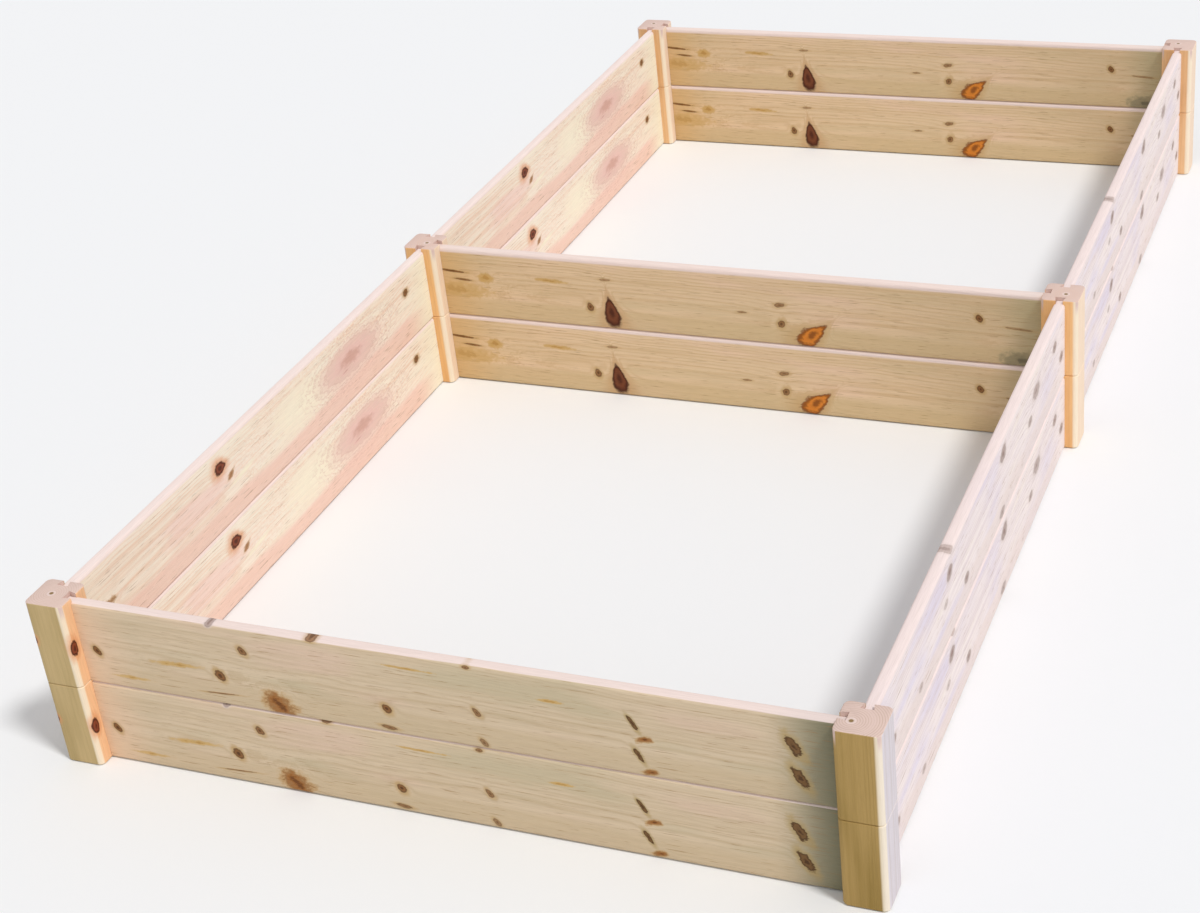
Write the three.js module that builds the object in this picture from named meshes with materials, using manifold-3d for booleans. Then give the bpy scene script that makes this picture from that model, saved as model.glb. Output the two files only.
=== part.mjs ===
// Raised garden bed in softwood: two square planting cells in a row, two tiers high.
// Twelve short post sections stand at six corners and carry fourteen boards. Each board ends in
// a dovetail tongue that slides down a dovetail groove in the post, so the bed goes together
// without tools, and a board lifts straight up and out again. A hidden dowel pins each upper post
// section to the one below it.
// Millimetres, +Z up. The origin is on the ground, under the middle of the divider. +X points to
// the bed's right side and +Y to its far end, so the front board lies at -Y.
import * as THREE from "three";
import { mergeVertices } from "three/addons/utils/BufferGeometryUtils.js";
import Module from "manifold-3d";

const wasm = await Module();
wasm.setup();

// ---- Driving dimensions ----
const POST_PITCH = 1187.5; // between post centres along and across the bed, so every board is alike
const POST_WIDTH = 63.5; // posts are square, 2 1/2 in
const POST_HEIGHT = 139.7; // one post section, 5 1/2 in
const POST_CORNER_RADIUS = 9; // the milled round on the four upright corners of a post
const POST_END_CHAMFER = 1.6; // the eased edge round a post's top and bottom
const POST_PROUD = 6.4; // how far the posts stand above the upper boards

const BOARD_THICKNESS = 19; // 3/4 in
const BOARD_EDGE_RADIUS = 5; // the eased edges along a board

const TONGUE_LENGTH = 12; // how far a board's tongue reaches past its shoulder
const TONGUE_NECK = 11; // tongue thickness at the shoulder
const TONGUE_TIP = 17; // tongue thickness at its end

const DOWEL_DIAMETER = 12;
const DOWEL_LENGTH = 50;
const DOWEL_CHAMFER = 1.2;
const DOWEL_FLUTES = 12; // shallow grooves that let the air out of the bore
const DOWEL_FLUTE_DEPTH = 0.4;

// ---- Clearances ----
const SHOULDER_GAP = 0.3; // board shoulder to post face
const SLIDE_GAP = 0.3; // each flank of the tongue to its groove
const TIP_GAP = 0.8; // tongue end to the groove's floor
const STACK_GAP = 0.3; // between pieces that rest on each other
const BORE_GAP = 0.3; // dowel to the wall of its bore

// ---- Smoothness ----
const CORNER_STEPS = 7; // on a quarter round of a post
const EDGE_STEPS = 3; // on a quarter round of a board's edge
const BORE_STEPS = 32;
const CUT_PAST = 1; // how far a cutter runs past the face that it opens

// ---- What follows from the sizes ----
const TIERS = ["lower", "upper"];
const BOARD_HEIGHT = POST_HEIGHT - POST_PROUD / TIERS.length;
const WOOD = { board: 0xe3c79f, post: 0xd9a96c, dowel: 0xc9a06a };

// ---- Solids ----

// A closed shape as a solid that can be joined and cut.
function solidFrom(geometry) {
  const bare = geometry.index ? geometry.toNonIndexed() : geometry.clone();
  bare.deleteAttribute("normal");
  bare.deleteAttribute("uv");
  const merged = mergeVertices(bare, 1e-4);
  return new wasm.Manifold(
    new wasm.Mesh({
      numProp: 3,
      vertProperties: merged.attributes.position.array,
      triVerts: new Uint32Array(merged.index.array),
    }),
  );
}

// A solid as a surface of flat faces.
function geometryFrom(solid) {
  const mesh = solid.getMesh();
  const indexed = new THREE.BufferGeometry();
  indexed.setAttribute("position", new THREE.BufferAttribute(mesh.vertProperties, mesh.numProp));
  indexed.setIndex(new THREE.BufferAttribute(mesh.triVerts, 1));
  const geometry = indexed.toNonIndexed();
  geometry.computeVertexNormals();
  return geometry;
}

// A rectangle about the origin with four round corners.
function roundedRectangle(width, height, radius) {
  const x = width / 2;
  const y = height / 2;
  const shape = new THREE.Shape();
  shape.moveTo(-x + radius, -y);
  shape.lineTo(x - radius, -y);
  shape.absarc(x - radius, -y + radius, radius, -Math.PI / 2, 0);
  shape.lineTo(x, y - radius);
  shape.absarc(x - radius, y - radius, radius, 0, Math.PI / 2);
  shape.lineTo(-x + radius, y);
  shape.absarc(-x + radius, y - radius, radius, Math.PI / 2, Math.PI);
  shape.lineTo(-x, -y + radius);
  shape.absarc(-x + radius, -y + radius, radius, Math.PI, Math.PI * 1.5);
  return shape;
}

// ---- The dovetail, shared by the boards and the posts ----

// Half the tongue's thickness at a distance from the board's shoulder.
function tongueHalfWidth(distance) {
  const flare = (TONGUE_TIP - TONGUE_NECK) / 2 / TONGUE_LENGTH;
  return TONGUE_NECK / 2 + distance * flare;
}

// The post's groove in plan, opening towards +X, and running past the post's face.
function grooveOutline() {
  const face = POST_WIDTH / 2;
  const floor = face + SHOULDER_GAP - TONGUE_LENGTH - TIP_GAP;
  const mouth = tongueHalfWidth(SHOULDER_GAP) + SLIDE_GAP;
  const back = tongueHalfWidth(TONGUE_LENGTH + TIP_GAP) + SLIDE_GAP;
  return new THREE.Shape([
    new THREE.Vector2(floor, -back),
    new THREE.Vector2(face, -mouth),
    new THREE.Vector2(face + CUT_PAST, -mouth),
    new THREE.Vector2(face + CUT_PAST, mouth),
    new THREE.Vector2(face, mouth),
    new THREE.Vector2(floor, back),
  ]);
}

// ---- Posts ----

function cylinder(diameter, height) {
  const round = new THREE.CylinderGeometry(diameter / 2, diameter / 2, height, BORE_STEPS);
  return round.rotateX(Math.PI / 2);
}

// One post section standing on z = 0. grooveTurns has a quarter turn for each board that it
// carries, counted from +X. boreEnd is the end that takes the dowel.
function postGeometry(grooveTurns, boreEnd) {
  const body = new THREE.ExtrudeGeometry(
    roundedRectangle(POST_WIDTH, POST_WIDTH, POST_CORNER_RADIUS),
    {
      depth: POST_HEIGHT - 2 * POST_END_CHAMFER,
      curveSegments: CORNER_STEPS,
      bevelThickness: POST_END_CHAMFER,
      bevelSize: POST_END_CHAMFER,
      bevelOffset: -POST_END_CHAMFER,
      bevelSegments: 1,
    },
  ).translate(0, 0, POST_END_CHAMFER);
  let post = solidFrom(body);
  for (const turn of grooveTurns) {
    const groove = new THREE.ExtrudeGeometry(grooveOutline(), {
      depth: POST_HEIGHT + 2 * CUT_PAST,
      bevelEnabled: false,
    });
    groove.translate(0, 0, -CUT_PAST).rotateZ((turn * Math.PI) / 2);
    post = post.subtract(solidFrom(groove));
  }
  const depth = boreDepth();
  const bore = cylinder(DOWEL_DIAMETER + 2 * BORE_GAP, depth + CUT_PAST);
  const middle = (depth - CUT_PAST) / 2;
  bore.translate(0, 0, boreEnd === "top" ? POST_HEIGHT - middle : middle);
  return geometryFrom(post.subtract(solidFrom(bore)));
}

// Each bore holds half of the dowel, and leaves it free at its end.
function boreDepth() {
  return (DOWEL_LENGTH - STACK_GAP) / 2 + BORE_GAP;
}

// ---- Boards ----

// One board along X, standing on z = 0: planed stock with eased edges, cut to the dovetail in plan.
function boardGeometry() {
  const shoulder = (POST_PITCH - POST_WIDTH) / 2 - SHOULDER_GAP;
  const end = shoulder + TONGUE_LENGTH;
  const stock = new THREE.ExtrudeGeometry(
    roundedRectangle(BOARD_THICKNESS, BOARD_HEIGHT, BOARD_EDGE_RADIUS),
    { depth: 2 * (end + CUT_PAST), curveSegments: EDGE_STEPS, bevelEnabled: false },
  );
  const lengthToX = new THREE.Matrix4().set(
    0, 0, 1, -end - CUT_PAST,
    1, 0, 0, 0,
    0, 1, 0, BOARD_HEIGHT / 2,
    0, 0, 0, 1,
  );
  stock.applyMatrix4(lengthToX);

  const half = BOARD_THICKNESS / 2 + CUT_PAST;
  const neck = tongueHalfWidth(0);
  const tip = tongueHalfWidth(TONGUE_LENGTH);
  const oneEnd = [
    [shoulder, -half],
    [shoulder, -neck],
    [end, -tip],
    [end, tip],
    [shoulder, neck],
    [shoulder, half],
  ];
  const otherEnd = oneEnd.map(([x, y]) => [-x, -y]);
  const corners = [...oneEnd, ...otherEnd].map(([x, y]) => new THREE.Vector2(x, y));
  const plan = new THREE.ExtrudeGeometry(new THREE.Shape(corners), {
    depth: BOARD_HEIGHT + 2 * CUT_PAST,
    bevelEnabled: false,
  }).translate(0, 0, -CUT_PAST);
  return geometryFrom(solidFrom(stock).intersect(solidFrom(plan)));
}

// ---- Dowels ----

// A fluted dowel standing on z = 0, with a chamfer at each end.
function dowelGeometry() {
  const radius = DOWEL_DIAMETER / 2;
  const outline = new THREE.Shape();
  const steps = DOWEL_FLUTES * 4;
  for (let i = 0; i < steps; i++) {
    const angle = (i / steps) * Math.PI * 2;
    const inset = i % 4 === 0 ? DOWEL_FLUTE_DEPTH : 0;
    const x = (radius - inset) * Math.cos(angle);
    const y = (radius - inset) * Math.sin(angle);
    if (i === 0) outline.moveTo(x, y);
    else outline.lineTo(x, y);
  }
  outline.closePath();
  const fluted = new THREE.ExtrudeGeometry(outline, {
    depth: DOWEL_LENGTH,
    bevelEnabled: false,
  });
  const turned = new THREE.LatheGeometry(
    [
      new THREE.Vector2(0, 0),
      new THREE.Vector2(radius - DOWEL_CHAMFER, 0),
      new THREE.Vector2(radius, DOWEL_CHAMFER),
      new THREE.Vector2(radius, DOWEL_LENGTH - DOWEL_CHAMFER),
      new THREE.Vector2(radius - DOWEL_CHAMFER, DOWEL_LENGTH),
      new THREE.Vector2(0, DOWEL_LENGTH),
    ],
    steps,
  ).rotateX(Math.PI / 2);
  return geometryFrom(solidFrom(fluted).intersect(solidFrom(turned)));
}

// ---- Assembly ----

function piece(name, geometry, colour, roughness) {
  const material = new THREE.MeshStandardMaterial({ color: colour, roughness, metalness: 0 });
  const mesh = new THREE.Mesh(geometry, material);
  mesh.name = name;
  return mesh;
}

const side = POST_PITCH / 2;
const QUARTER = Math.PI / 2;

// Where each post stands, its kind, and how far it is turned from that kind's own direction.
const POSTS = [
  { name: "front_left_post", x: -side, y: -POST_PITCH, kind: "corner", turns: 0 },
  { name: "front_right_post", x: side, y: -POST_PITCH, kind: "corner", turns: 1 },
  { name: "rear_right_post", x: side, y: POST_PITCH, kind: "corner", turns: 2 },
  { name: "rear_left_post", x: -side, y: POST_PITCH, kind: "corner", turns: 3 },
  { name: "mid_left_post", x: -side, y: 0, kind: "middle", turns: 0 },
  { name: "mid_right_post", x: side, y: 0, kind: "middle", turns: 2 },
];

// A corner post carries two boards, and a middle post three.
const GROOVES = { corner: [0, 1], middle: [0, 1, 3] };

// Where each board's middle lies, and whether it runs along the bed.
const BOARDS = [
  { name: "front_board", x: 0, y: -POST_PITCH, along: false },
  { name: "divider_board", x: 0, y: 0, along: false },
  { name: "rear_board", x: 0, y: POST_PITCH, along: false },
  { name: "left_front_board", x: -side, y: -POST_PITCH / 2, along: true },
  { name: "left_rear_board", x: -side, y: POST_PITCH / 2, along: true },
  { name: "right_front_board", x: side, y: -POST_PITCH / 2, along: true },
  { name: "right_rear_board", x: side, y: POST_PITCH / 2, along: true },
];

const bed = new THREE.Group();
bed.name = "raised_garden_bed";

TIERS.forEach((tier, level) => {
  const postTier = new THREE.Group();
  postTier.position.z = level * (POST_HEIGHT + STACK_GAP);
  const boreEnd = level === 0 ? "top" : "bottom";
  for (const spot of POSTS) {
    const geometry = postGeometry(GROOVES[spot.kind], boreEnd);
    const post = piece(`${spot.name}_${tier}`, geometry, WOOD.post, 0.75);
    post.position.set(spot.x, spot.y, 0);
    post.rotation.z = spot.turns * QUARTER;
    postTier.add(post);
  }
  bed.add(postTier);

  const boardTier = new THREE.Group();
  boardTier.position.z = level * (BOARD_HEIGHT + STACK_GAP);
  for (const spot of BOARDS) {
    const board = piece(`${spot.name}_${tier}`, boardGeometry(), WOOD.board, 0.8);
    board.position.set(spot.x, spot.y, 0);
    board.rotation.z = spot.along ? QUARTER : 0;
    boardTier.add(board);
  }
  bed.add(boardTier);
});

const dowels = new THREE.Group();
dowels.position.z = POST_HEIGHT + (STACK_GAP - DOWEL_LENGTH) / 2;
for (const spot of POSTS) {
  const dowel = piece(spot.name.replace("post", "dowel"), dowelGeometry(), WOOD.dowel, 0.6);
  dowel.position.set(spot.x, spot.y, 0);
  dowels.add(dowel);
}
bed.add(dowels);

export default bed;
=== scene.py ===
# %% [markdown]
# # A raised garden bed in softwood
# Two square cells in a row, two tiers high. Six square posts, each made of two stacked
# sections, carry fourteen boards. Every board ends in a dovetail tongue that slides down a
# groove in its post, so each board can be lifted straight up and out.
#
# The frame gives every piece its place and size: metres, +X to the bed's right side, +Y to its
# far end, +Z up. This script dresses the frame. It shapes each post and board again with finer
# edges, and gives the wood its growth rings, knots and colours.

import math
import random

import bmesh
import bpy
from mathutils import Matrix, Vector


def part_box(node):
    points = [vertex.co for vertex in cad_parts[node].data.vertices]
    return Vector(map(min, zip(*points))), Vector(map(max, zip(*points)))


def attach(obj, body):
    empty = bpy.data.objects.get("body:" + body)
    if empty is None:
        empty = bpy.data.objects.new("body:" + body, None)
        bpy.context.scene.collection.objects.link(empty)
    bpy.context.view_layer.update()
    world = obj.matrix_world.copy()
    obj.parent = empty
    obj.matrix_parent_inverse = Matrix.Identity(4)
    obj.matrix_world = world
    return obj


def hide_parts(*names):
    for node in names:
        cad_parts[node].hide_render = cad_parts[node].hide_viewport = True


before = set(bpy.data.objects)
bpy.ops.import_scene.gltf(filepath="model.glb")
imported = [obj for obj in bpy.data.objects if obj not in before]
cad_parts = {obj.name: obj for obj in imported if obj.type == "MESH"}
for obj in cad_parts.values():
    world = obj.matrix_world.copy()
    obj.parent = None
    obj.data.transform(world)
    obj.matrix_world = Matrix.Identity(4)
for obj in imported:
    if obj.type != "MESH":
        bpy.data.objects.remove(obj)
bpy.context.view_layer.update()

# %% [markdown]
# ## Sizes read from the frame
# The posts and boards could be given by numbers typed here, but then the script would go wrong
# as soon as the frame changed. So they are measured on the frame. Only the sizes of the
# dovetail, the bore and the eased edges are repeated, because a box does not show them.

# %%
TIERS = ("lower", "upper")
POSTS = ("front_left", "front_right", "mid_left", "mid_right", "rear_left", "rear_right")
CROSS_BOARDS = ("front", "divider", "rear")
SIDE_BOARDS = ("left_front", "left_rear", "right_front", "right_rear")

TONGUE_NECK = 0.0110
TONGUE_TIP = 0.0170
TONGUE_LENGTH = 0.0120
SLIDE_GAP = 0.0003
SHOULDER_GAP = 0.0003
TIP_GAP = 0.0008
POST_ROUND = 0.009
POST_CHAMFER = 0.0016
BOARD_ROUND = 0.005
BORE_RADIUS = 0.0063
BORE_DEPTH = 0.02515


def size_of(node):
    low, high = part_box(node)
    return [high[i] - low[i] for i in range(3)]


def foot_of(node):
    """The middle of a node's underside."""
    low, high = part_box(node)
    return Vector(((low[0] + high[0]) / 2, (low[1] + high[1]) / 2, low[2]))


POST_WIDTH, _, POST_HEIGHT = size_of("front_left_post_lower")
POST_TOP = foot_of("front_left_post_upper").z + POST_HEIGHT
BOARD_LENGTH, BOARD_THICK, BOARD_HEIGHT = size_of("front_board_lower")
print(f"post {POST_WIDTH:.3f} x {POST_HEIGHT:.4f}, stacked {POST_TOP:.4f}")
print(f"board {BOARD_LENGTH:.4f} x {BOARD_HEIGHT:.4f} x {BOARD_THICK:.4f}")

# %% [markdown]
# ## A small way to write shader nodes
# Wood needs long formulas, and in the node editor they become a tangle of wires. Written with
# `Graph`, each call takes numbers or the sockets of other nodes and returns the new node's
# first output, so a formula reads from left to right. `step` is the one used most: a smooth
# change from one value to another, which makes an edge between two tones.

# %%


class Graph:
    def __init__(self, tree):
        self.tree = tree

    def node(self, kind, *values, **settings):
        made = self.tree.nodes.new(kind)
        for key, value in settings.items():
            setattr(made, key, value)
        for socket, value in zip(made.inputs, values):
            self.join(value, socket)
        return made

    def join(self, value, socket):
        if isinstance(value, bpy.types.NodeSocket):
            self.tree.links.new(value, socket)
        elif socket.type in {"VECTOR", "RGBA"} and isinstance(value, (int, float)):
            socket.default_value = [value] * len(socket.default_value)
        else:
            socket.default_value = value

    def math(self, operation, *values):
        return self.node("ShaderNodeMath", *values, operation=operation).outputs[0]

    def vector(self, operation, *values):
        made = self.node("ShaderNodeVectorMath", *values, operation=operation)
        return made.outputs["Value" if operation == "LENGTH" else "Vector"]

    def combine(self, x, y, z):
        return self.node("ShaderNodeCombineXYZ", x, y, z).outputs[0]

    def split(self, vector):
        return self.node("ShaderNodeSeparateXYZ", vector).outputs

    def noise(self, vector, detail, roughness=0.5):
        made = self.tree.nodes.new("ShaderNodeTexNoise")
        self.join(vector, made.inputs["Vector"])
        made.inputs["Scale"].default_value = 1.0
        made.inputs["Detail"].default_value = detail
        made.inputs["Roughness"].default_value = roughness
        return made.outputs[0]

    def step(self, value, start, end, low=0.0, high=1.0):
        """A smooth change from low to high as value goes from start to end."""
        made = self.tree.nodes.new("ShaderNodeMapRange")
        made.interpolation_type = "SMOOTHSTEP"
        for socket, given in zip(made.inputs, (value, start, end, low, high)):
            self.join(given, socket)
        return made.outputs[0]

    def mix(self, factor, first, second, blend="MIX"):
        made = self.tree.nodes.new("ShaderNodeMix")
        made.data_type = "RGBA"
        made.blend_type = blend
        self.join(factor, made.inputs[0])
        self.join(first, made.inputs[6])
        self.join(second, made.inputs[7])
        return made.outputs[2]


print("Graph can add:", ", ".join(name for name in vars(Graph) if not name.startswith("_")))

# %% [markdown]
# ## Groups with named sockets
# Rings and knots are used by every wooden material. Copies would drift apart, so each is built
# once as a node group with named inputs and outputs and then placed with its own values.
# Colours are written as 0-255 values, and a shader needs them as linear light.

# %%


def node_group(name, inputs, outputs):
    """A new shader node group, and its input and output sockets by name."""
    tree = bpy.data.node_groups.new(name, "ShaderNodeTree")
    for direction, sockets in (("INPUT", inputs), ("OUTPUT", outputs)):
        for label, kind in sockets.items():
            tree.interface.new_socket(label, in_out=direction, socket_type="NodeSocket" + kind)
    given = tree.nodes.new("NodeGroupInput").outputs
    wanted = tree.nodes.new("NodeGroupOutput").inputs
    return tree, Graph(tree), given, wanted


def group_node(g, tree, **values):
    """Places a group. A value's name may have _ for the space in a socket's name."""
    made = g.tree.nodes.new("ShaderNodeGroup")
    made.node_tree = tree
    for label, value in values.items():
        g.join(value, made.inputs[label.replace("_", " ")])
    return made.outputs


def srgb(red, green, blue):
    return [((c / 255 + 0.055) / 1.055) ** 2.4 for c in (red, green, blue)] + [1.0]


print("middle grey as linear light:", round(srgb(128, 128, 128)[0], 3))

# %% [markdown]
# ## Growth rings
# Each piece carries its own grain coordinates: U runs along the grain, V and W across it, in
# metres. A picture of wood wrapped round a board would show the same lines on its end as on
# its face. Here wood is a solid pattern instead. A ring lies wherever the distance to the pith,
# the tree's middle line, passes a multiple of the ring width. A board cut far from the pith
# shows long wavering bands, and a post that holds the pith shows circles on its end.
#
# `Sway` makes the tree crooked, and `Lean` tips it against the piece. `Bend` is the push of the
# knots. Besides the rings, the group gives four noises, drawn out along the grain: broad
# blotches, thin streaks, short dark flecks and the finest pores.

# %%
CROOKED = (2.2, 9.0)  # how often the tree sways, per metre along and across
YEARS = 90.0  # how fast good and poor years change with the distance from the pith


def make_ring_group():
    inputs = {
        "Grain": "Vector", "Pith": "Vector", "Lean": "Float", "Width": "Float",
        "Sway": "Float", "Bend": "Float", "Seed": "Float",
    }
    outputs = {
        "Ring": "Float", "Distance": "Float", "Streak": "Float", "Blotch": "Float",
        "Fleck": "Float", "Pores": "Float",
    }
    tree, g, given, wanted = node_group("growth_rings", inputs, outputs)
    u, v, w = g.split(given["Grain"])
    pith = g.split(given["Pith"])
    seed = given["Seed"]

    slow = g.combine(g.math("MULTIPLY", u, CROOKED[0]), g.math("MULTIPLY", v, CROOKED[1]), seed)
    sway = g.math("SUBTRACT", g.noise(slow, 3.0, 0.55), 0.5)
    across = g.math("SUBTRACT", v, pith[1])
    across = g.math("MULTIPLY_ADD", u, given["Lean"], across)
    across = g.math("MULTIPLY_ADD", sway, given["Sway"], across)
    through = g.math("SUBTRACT", w, pith[2])
    distance = g.vector("LENGTH", g.combine(0.0, across, through))
    bent = g.math("ADD", distance, given["Bend"])

    # A high power of the wave leaves thin dark late wood between wide pale early wood.
    wave = g.math("SINE", g.math("MULTIPLY", g.math("DIVIDE", bent, given["Width"]), math.tau))
    late = g.math("POWER", g.math("MULTIPLY_ADD", wave, 0.5, 0.5), 3.0)
    years = g.noise(g.combine(seed, g.math("MULTIPLY", bent, YEARS), 0.0), 1.0)
    g.join(g.math("MULTIPLY", late, g.step(years, 0.3, 0.7, 0.35, 1.0)), wanted["Ring"])
    g.join(distance, wanted["Distance"])

    def stretched(along, over, detail):
        """Noise that changes `along` times a metre with the grain and `over` times across."""
        place = g.combine(
            g.math("MULTIPLY_ADD", u, along, seed),
            g.math("MULTIPLY", v, over),
            g.math("MULTIPLY", w, over),
        )
        return g.noise(place, detail, 0.6)

    g.join(stretched(2.5, 130.0, 4.0), wanted["Streak"])
    g.join(stretched(3.0, 14.0, 2.0), wanted["Blotch"])
    g.join(g.step(stretched(24.0, 560.0, 2.0), 0.61, 0.72), wanted["Fleck"])
    g.join(stretched(28.0, 1500.0, 2.0), wanted["Pores"])
    return tree


RINGS = make_ring_group()
print(RINGS.name, "has", len(RINGS.nodes), "nodes")

# %% [markdown]
# ## The shape of a knot
# A knot is the root of a branch. Seen on a board it is a dark oval, often leaning, with a thin
# darker rim, a dark heart and a halo of redder wood, and the rings of the board flow round it.
# A knot could be cut into the mesh, but planing leaves it flush, so it is paint. `knot_shape`
# measures how far a point lies from the knot's middle, counted in knot sizes, and turns that
# into masks.
#
# `Taper` makes one end pointed, `Ragged` breaks the outline, and `Soft` blurs it until only a
# stain is left. `Ripple` draws ring lines round a knot that lies just under the face. `Bend` is
# added to the distance from the pith, so the rings part round the knot.

# %%
SHARPEST_TIP = 0.12  # the least width of a tapered knot, as a share of its full width
RIPPLES = 26.0  # radians of ring lines per knot size


def make_knot_shape():
    inputs = {
        "Grain": "Vector", "Centre": "Vector", "Size": "Vector", "Tilt": "Float",
        "Taper": "Float", "Soft": "Float", "Ragged": "Float", "Ripple": "Float",
    }
    outputs = {
        "Core": "Float", "Rim": "Float", "Halo": "Float", "Heart": "Float", "Bend": "Float",
    }
    tree, g, given, wanted = node_group("knot_shape", inputs, outputs)
    x, y, z = g.split(g.vector("SUBTRACT", given["Grain"], given["Centre"]))
    reach = g.split(given["Size"])
    cosine = g.math("COSINE", given["Tilt"])
    sine = g.math("SINE", given["Tilt"])
    along = g.math("ADD", g.math("MULTIPLY", x, cosine), g.math("MULTIPLY", y, sine))
    across = g.math("SUBTRACT", g.math("MULTIPLY", y, cosine), g.math("MULTIPLY", x, sine))
    along = g.math("DIVIDE", along, reach[0])
    slim = g.math("MULTIPLY_ADD", along, given["Taper"], 1.0)
    slim = g.math("MAXIMUM", slim, SHARPEST_TIP)
    across = g.math("DIVIDE", g.math("DIVIDE", across, reach[1]), slim)
    apart = g.vector("LENGTH", g.combine(along, across, g.math("DIVIDE", z, reach[2])))
    apart = g.math("ADD", apart, given["Ragged"])

    # From here on `apart` is 1 on the knot's outline. A soft knot fades over a wider band.
    near = g.math("MULTIPLY_ADD", given["Soft"], -0.7, 0.88)
    far = g.math("MULTIPLY_ADD", given["Soft"], 0.7, 1.08)
    g.join(g.step(apart, near, far, 1.0, 0.0), wanted["Core"])
    rim = g.math("MULTIPLY", g.step(apart, 0.62, 0.9), g.step(apart, 0.98, 1.2, 1.0, 0.0))
    rim = g.math("MULTIPLY", rim, g.math("SUBTRACT", 1.0, given["Soft"]))
    lines = g.step(g.math("SINE", g.math("MULTIPLY", apart, RIPPLES)), 0.35, 0.95)
    lines = g.math("MULTIPLY", lines, g.step(apart, 0.75, 1.15))
    lines = g.math("MULTIPLY", lines, g.step(apart, 2.5, 1.5, 0.0, 1.0))
    g.join(g.math("MULTIPLY_ADD", lines, given["Ripple"], rim), wanted["Rim"])
    outer = g.math("MULTIPLY_ADD", given["Soft"], -1.1, 2.6)
    g.join(g.step(apart, 0.9, outer, 1.0, 0.0), wanted["Halo"])
    g.join(g.step(apart, 0.15, 0.55, 1.0, 0.0), wanted["Heart"])
    fade = g.math("EXPONENT", g.math("MULTIPLY", g.math("POWER", apart, 2.0), -0.25))
    g.join(g.math("MULTIPLY", fade, g.math("MULTIPLY", reach[1], 1.1)), wanted["Bend"])
    return tree


KNOT_SHAPE = make_knot_shape()
print(KNOT_SHAPE.name, "has", len(KNOT_SHAPE.nodes), "nodes")

# %% [markdown]
# ## The colours of a knot
# The masks could each get a material of their own, but a knot's tones run into each other. So
# `knot_colour` lays them over the wood one after the other, as thin glazes: the halo first,
# then the core, the heart in it and the rim round it. The wood shows a little through each.

# %%


def make_knot_colour():
    inputs = {
        "Wood": "Color", "Core": "Float", "Rim": "Float", "Halo": "Float", "Heart": "Float",
        "Strength": "Float", "Core Color": "Color", "Rim Color": "Color", "Halo Color": "Color",
    }
    tree, g, given, wanted = node_group("knot_colour", inputs, {"Color": "Color"})
    colour = given["Wood"]
    for mask, cover, paint in (
        ("Halo", 0.75, "Halo Color"), ("Core", 0.92, "Core Color"),
        ("Heart", 0.70, "Rim Color"), ("Rim", 0.75, "Rim Color"),
    ):
        factor = g.math("MULTIPLY", g.math("MULTIPLY", given[mask], cover), given["Strength"])
        colour = g.mix(factor, colour, given[paint])
    g.join(colour, wanted["Color"])
    return tree


KNOT_COLOUR = make_knot_colour()
print(KNOT_COLOUR.name, "has", len(KNOT_COLOUR.nodes), "nodes")

# %% [markdown]
# ## Kinds of knot
# The marks on real boards fall into a few kinds: dark sound knots, knots ringed with bark,
# rusty resin, split knots, stains, and the soft pink or grey ovals of branches that lie just
# under the face. Even a pale patch can be drawn as a very soft knot, and so can a painted
# shadow: a dark grey-green blotch at a cross board's far end, where the right board's shadow
# falls. Each kind has its core, rim and halo colours, how soft and how ragged it is, and its
# ring lines.

# %%
KNOT_KINDS = {
    "dark": ((124, 44, 12), (58, 20, 6), (230, 156, 104), 0.0, 0.9, 0.0),
    "bark": ((108, 42, 8), (60, 20, 2), (206, 166, 120), 0.0, 0.5, 0.0),
    "brown": ((138, 90, 48), (66, 38, 20), (196, 158, 98), 0.25, 1.1, 0.0),
    "rust": ((222, 130, 30), (104, 50, 14), (206, 170, 118), 0.05, 0.8, 0.0),
    "stain": ((158, 98, 40), (92, 50, 20), (202, 160, 98), 0.7, 1.9, 0.0),
    "split": ((116, 80, 44), (64, 38, 18), (182, 154, 98), 0.12, 1.7, 0.0),
    "grey": ((176, 154, 146), (134, 108, 98), (226, 210, 204), 0.5, 1.0, 0.0),
    "blush": ((236, 192, 184), (208, 158, 140), (252, 230, 212), 0.85, 0.7, 0.45),
    "cream": ((255, 245, 221), (255, 245, 221), (254, 238, 216), 1.0, 1.4, 0.0),
    "ochre": ((208, 168, 100), (186, 142, 78), (212, 178, 118), 1.0, 2.2, 0.0),
    # A painted shadow, not a mark in the wood.
    "damp": ((142, 134, 106), (112, 106, 84), (176, 162, 126), 1.0, 1.8, 0.0),
}
print(len(KNOT_KINDS), "kinds of knot")

# %% [markdown]
# ## The knots of each board
# Knots could be scattered at random, but the real ones sit at places that the eye remembers.
# Boards of one kind were cut alike, so they share one list. A knot is written as its share of
# the length from the left or front end, its share of the height from the top, half its length
# and half its height in millimetres, its lean in degrees, its taper, its kind and its strength.

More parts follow.
